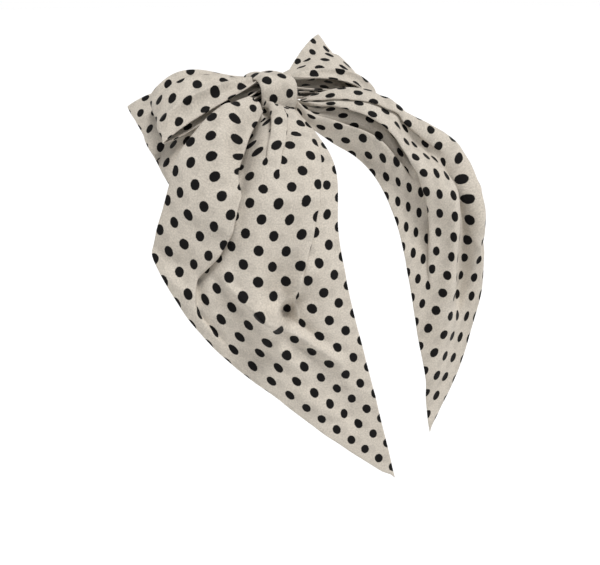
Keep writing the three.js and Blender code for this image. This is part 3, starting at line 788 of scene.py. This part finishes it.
class BOW_OT_rear_loops(bpy.types.Operator):
    """Makes the wide pair of loops that lies behind"""
    bl_idname = "bow.rear_loops"
    bl_label = "Rear loops"

    def execute(self, context):
        sizes = context.scene.bow_sizes
        folds = {
            1: [("ridge", 1, [(60, 0.35, 6, 3, 1), (75, 0.3, 6, 4, 2), (95, 0.3, 4, 2, 1)]),
                ("ridge", -1, [(60, 0.6, 7, 3, 1), (80, 0.55, 6, 4, 2), (95, 0.55, 4, 2, 1)])],
            -1: [("ridge", 1, [(60, 0.35, 7, 3, 1), (75, 0.35, 6, 4, 2), (95, 0.4, 4, 2, 1)]),
                 ("ridge", -1, [(60, 0.15, 7, 3, 1), (80, 0.2, 6, 3, 2), (95, 0.2, 4, 2, 1)])],
        }
        piece, length, area = make_loops("rear_loops_cloth", REAR, REAR_HEIGHT, REAR_OPENING,
                                         REAR_SHARE, REAR_PUFF, sizes.rear_width / MM,
                                         folds, 5)
        dress(piece, crepe(), "bow", "crepe", "rear_loops")
        return {"FINISHED"}


class BOW_OT_front_loops(bpy.types.Operator):
    """Makes the puffed pair of loops in front"""
    bl_idname = "bow.front_loops"
    bl_label = "Front loops"

    def execute(self, context):
        sizes = context.scene.bow_sizes
        folds = {
            1: [("ridge", -1, [(60, 0.3, 6, 4, 2), (80, 0.3, 5, 4, 2), (95, 0.35, 4, 2, 1)])],
            -1: [("ridge", -1, [(60, 0.3, 6, 3, 1), (75, 0.32, 6, 5, 3), (95, 0.38, 4, 3, 1)]),
                 ("ridge", 1, [(65, 0.82, 5, 2, 1), (80, 0.8, 5, 3, 1), (95, 0.75, 4, 2, 1)])],
        }
        piece, length, area = make_loops("front_loops_cloth", FRONT, FRONT_HEIGHT, FRONT_OPENING,
                                         FRONT_SHARE, FRONT_PUFF, sizes.front_width / MM,
                                         folds, 11)
        dress(piece, crepe(), "bow", "crepe", "front_loops")
        return {"FINISHED"}


def ring(turn, depth, base, top, seam_gap):
    """A rounded ring in the YZ plane with its two ends met underneath, in millimetres."""
    seam = seam_gap / depth
    angle = -math.pi / 2 + seam + turn * (2 * math.pi - 2 * seam)
    cosine, sine = np.cos(angle), np.sin(angle)
    y = -0.5 * depth * np.sign(cosine) * np.abs(cosine) ** 0.6
    z = (base + top) / 2 + 0.5 * (top - base) * np.sign(sine) * np.abs(sine) ** 0.6
    return y, z


class BOW_OT_knot_band(bpy.types.Operator):
    """Wraps the folded band round the gathered middle"""
    bl_idname = "bow.knot_band"
    bl_label = "Knot band"

    def execute(self, context):
        sizes = context.scene.bow_sizes
        rows, columns = (96, 28)
        piece, along, across = cloth_grid("knot_band_cloth", rows, columns)
        y, z = ring(along, BAND_DEPTH, BAND_BASE, BAND_TOP, 0.8)
        lift = ease((z - BAND_BASE) / 8)
        # a full crown, with soft folds that run round the band and rolled edges
        puff = 1.2 * np.cos(math.pi * (across - 0.5)) * lift
        folds = 0.55 * np.sin(2 * math.pi * (2.2 * across + 0.25 * np.sin(2 * math.pi * along * 1.5)))
        folds += 0.5 * crumple(along * 96, across * BAND_WIDTH, 17, 21)
        edge = np.exp(-np.minimum(across, 1 - across) * BAND_WIDTH / 1.6)
        away = np.stack([np.zeros_like(y), y, z - BAND_MIDDLE], axis=2)
        away /= np.linalg.norm(away, axis=2)[:, :, None]
        shape = np.stack([BAND_WIDTH * (across - 0.5), y, z], axis=2)
        shape = shape + away * (puff + folds * lift - edge * (0.9 + 1.2 * lift))[:, :, None]
        waist = 1 - 0.05 * np.sin(math.pi * along) * lift
        shape[:, :, 0] = shape[:, :, 0] * waist + KNOT_SHIFT - 2.5
        place_vertices(piece, shape)
        ring_step = np.linalg.norm(np.diff(shape[:, columns // 2], axis=0), axis=1)
        run_length = np.concatenate([[0], np.cumsum(ring_step)])
        # the band is cut at an angle to the lattice of the print
        round_band = np.broadcast_to(run_length[:, None], along.shape)
        turn = math.radians(33)
        edge_on, round_on = across * BAND_WIDTH + 8, round_band + 2
        paint_uv(piece, edge_on * math.cos(turn) - round_on * math.sin(turn),
                 edge_on * math.sin(turn) + round_on * math.cos(turn))
        finish_cloth(piece, sizes.band_thickness)
        dress(piece, crepe(), "bow", "crepe", "knot_band")
        return {"FINISHED"}


class BOW_OT_gather_thread(bpy.types.Operator):
    """Winds the gathering thread round the middle"""
    bl_idname = "bow.gather_thread"
    bl_label = "Gathering thread"

    def execute(self, context):
        turns, thick = (6, THREAD_THICK)
        rows, columns = (turns * 48, 8)
        piece, along, across = cloth_grid("gather_thread_winding", rows, columns)
        around = (along * turns) % 1.0
        y, z = ring(np.where(along == 1, 1.0, around), THREAD_DEPTH,
                    THREAD_BASE, THREAD_TOP, 0.0)
        path = np.stack([KNOT_SHIFT + (along - 0.5) * (turns - 1) * thick * 1.05, y, z], axis=2)
        forward = np.gradient(path, axis=0)
        forward /= np.linalg.norm(forward, axis=2)[:, :, None]
        side = np.zeros_like(forward)
        side[:, :, 0] = 1
        up = np.cross(forward, side)
        turn = 2 * math.pi * across
        shape = path + (side * np.cos(turn)[:, :, None] + up * np.sin(turn)[:, :, None]) * thick / 2
        place_vertices(piece, shape)
        paint_uv(piece, across * 3, along * turns * 80)
        bpy.ops.object.mode_set(mode="EDIT")
        bpy.ops.mesh.select_all(action="SELECT")
        bpy.ops.mesh.remove_doubles(threshold=0.00002)
        bpy.ops.mesh.select_all(action="DESELECT")
        bpy.ops.mesh.select_non_manifold()
        bpy.ops.mesh.fill_holes(sides=0)
        bpy.ops.mesh.select_all(action="SELECT")
        bpy.ops.mesh.normals_make_consistent(inside=False)
        bpy.ops.object.mode_set(mode="OBJECT")
        piece.data.shade_smooth()
        finish = context.scene.bow_finish
        dress(piece, material_once("polyester_sewing_thread", thread_material, finish), "bow", "thread",
              "gather_thread")
        return {"FINISHED"}


class BOW_OT_barrette(bpy.types.Operator):
    """Finishes the metal of the spring barrette"""
    bl_idname = "bow.barrette"
    bl_label = "Barrette"

    def execute(self, context):
        finish = context.scene.bow_finish
        rolled = material_once("nickel_plated_steel_rolled", plated_steel, tuple(finish.plate), 0.28,
                               (60, 2600, 2600))
        spring = material_once("spring_steel_polished", plated_steel, tuple(finish.spring), 0.34,
                               (60, 2600, 2600))
        for node, metal in (("top_plate", rolled), ("clasp_arm", rolled), ("hinge_pin", rolled),
                            ("catch_rivet", rolled), ("tension_bar", spring), ("catch_plate", spring),
                            ("release_tab_front", spring), ("release_tab_back", spring)):
            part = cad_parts[node]
            if not part.material_slots:
                part.data.materials.append(metal)
            for slot in part.material_slots:
                slot.material = metal
        return {"FINISHED"}


class BOW_OT_stage(bpy.types.Operator):
    """Sets the floor, the lights and the camera"""
    bl_idname = "bow.stage"
    bl_label = "Stage"

    def execute(self, context):
        scene = context.scene
        stage = scene.bow_stage
        scene.view_settings.view_transform = "Standard"
        drop = CAD_BOX[0][2] - stage.floor_drop
        bpy.ops.object.select_all(action="DESELECT")
        bpy.ops.mesh.primitive_grid_add(x_subdivisions=8, y_subdivisions=8, size=120)
        floor = context.object
        floor.name = "studio_floor"
        floor.data.transform(floor.matrix_world)
        for vertex in floor.data.vertices:
            vertex.co.z = drop
        floor.data.materials.append(stage_material("studio_card_matt", "FFFFFF"))
        world = bpy.data.worlds.new("studio")
        world.use_nodes = True
        world.node_tree.nodes["Background"].inputs[0].default_value = linear("FFFFFF")
        # a white cyclorama all round, under a dimmer ceiling
        looking = add_node(world.node_tree, "ShaderNodeTexCoord").outputs["Generated"]
        height = add_node(world.node_tree, "ShaderNodeSeparateXYZ", {0: looking}).outputs["Z"]
        strength = add_node(world.node_tree, "ShaderNodeMapRange", {
            "Value": height, "From Min": 0.12, "From Max": 0.5, "To Min": 1.0,
            "To Max": stage.room_light}, interpolation_type="SMOOTHSTEP")
        world.node_tree.links.new(strength.outputs[0], world.node_tree.nodes["Background"].inputs[1])
        scene.world = world
        # a large soft box a long way off, above the camera and a little to its right
        bpy.ops.object.light_add(type="SUN", location=(0.1, -0.3, 0.95))
        light = context.object
        light.name = "light_key"
        light.data.energy = stage.key_power
        light.data.angle = math.radians(24)
        toward = -light.location
        light.rotation_euler = toward.to_track_quat("-Z", "Y").to_euler()
        bpy.ops.object.camera_add(location=(-0.2561, -0.4271, 0.0897))
        camera = context.object
        camera.name = "studio_camera"
        camera.rotation_euler = (math.radians(90 - 24), 0, math.radians(-33))
        camera.data.lens = stage.lens
        camera.data.sensor_width = 36
        camera.data.dof.use_dof = False
        camera.data.clip_start = 0.01
        scene.camera = camera
        return {"FINISHED"}


class BOW_PT_panel(bpy.types.Panel):
    """Lists the bow's settings and pieces"""
    bl_idname = "BOW_PT_panel"
    bl_label = "Hair Bow"
    bl_space_type = "VIEW_3D"
    bl_region_type = "UI"
    bl_category = "Hair Bow"

    def draw(self, context):
        scene = context.scene
        for group in (scene.bow_sizes, scene.bow_finish, scene.bow_stage):
            column = self.layout.column(align=True)
            for key in group.bl_rna.properties.keys():
                if key not in ("rna_type", "name"):
                    column.prop(group, key)
        for operator in OPERATORS:
            self.layout.operator(operator.bl_idname)


OPERATORS = (BOW_OT_tails, BOW_OT_rear_loops, BOW_OT_front_loops, BOW_OT_knot_band,
             BOW_OT_gather_thread, BOW_OT_barrette, BOW_OT_stage)
CLASSES = (BowSizes, BowFinish, BowStage) + OPERATORS + (BOW_PT_panel,)
SETTINGS = (("bow_sizes", BowSizes), ("bow_finish", BowFinish), ("bow_stage", BowStage))


def register():
    for item in CLASSES:
        bpy.utils.register_class(item)
    for name, group in SETTINGS:
        setattr(bpy.types.Scene, name, bpy.props.PointerProperty(type=group))


def unregister():
    for name, _ in SETTINGS:
        delattr(bpy.types.Scene, name)
    for item in reversed(CLASSES):
        bpy.utils.unregister_class(item)


def main():
    register()
    bpy.ops.bow.stage()
    bpy.ops.bow.tails()
    bpy.ops.bow.rear_loops()
    bpy.ops.bow.front_loops()
    bpy.ops.bow.knot_band()
    bpy.ops.bow.gather_thread()
    bpy.ops.bow.barrette()


if __name__ == "__main__":
    main()
